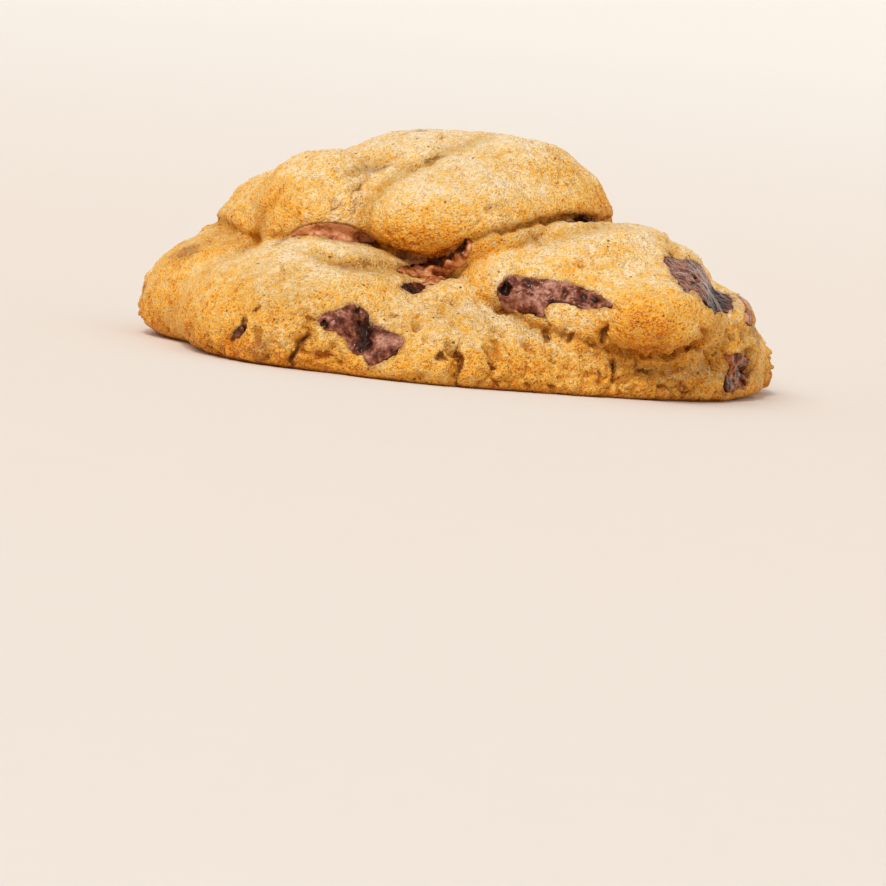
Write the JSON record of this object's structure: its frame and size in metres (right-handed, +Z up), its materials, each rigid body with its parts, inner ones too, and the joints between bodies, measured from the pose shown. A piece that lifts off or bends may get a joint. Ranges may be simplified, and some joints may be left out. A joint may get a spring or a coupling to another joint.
{
  "type": "chocolate chip cookie",
  "caption": "Thick round chocolate chip cookie with a folded, domed top, a flat underside and large melted chocolate chunks bedded in the dough.",
  "frame": {"origin": "middle of the bounding box's bottom, on the flat underside", "axes": "+Z up through the dome, +X to the right and +Y away from the side that shows the large front chunk"},
  "size_m": [0.0926, 0.0856, 0.034],
  "materials": {
    "baked_dough": "matte, sandy baked crust",
    "milk_chocolate": "half-gloss melted chocolate"
  },
  "bodies": {
    "root": {"dough": "baked_dough", "chocolate_front": "milk_chocolate", "chocolate_shoulder": "milk_chocolate", "chocolate_right_upper": "milk_chocolate", "chocolate_right_low": "milk_chocolate", "chocolate_lens": "milk_chocolate", "chocolate_crevice": "milk_chocolate", "chocolate_right_side": "milk_chocolate", "chocolate_right_back": "milk_chocolate", "chocolate_left_side": "milk_chocolate", "chocolate_left_back": "milk_chocolate", "chocolate_back_low": "milk_chocolate", "chocolate_back_upper": "milk_chocolate", "chocolate_back_left": "milk_chocolate", "chocolate_top": "milk_chocolate", "chocolate_top_left": "milk_chocolate"}
  },
  "joints": []
}
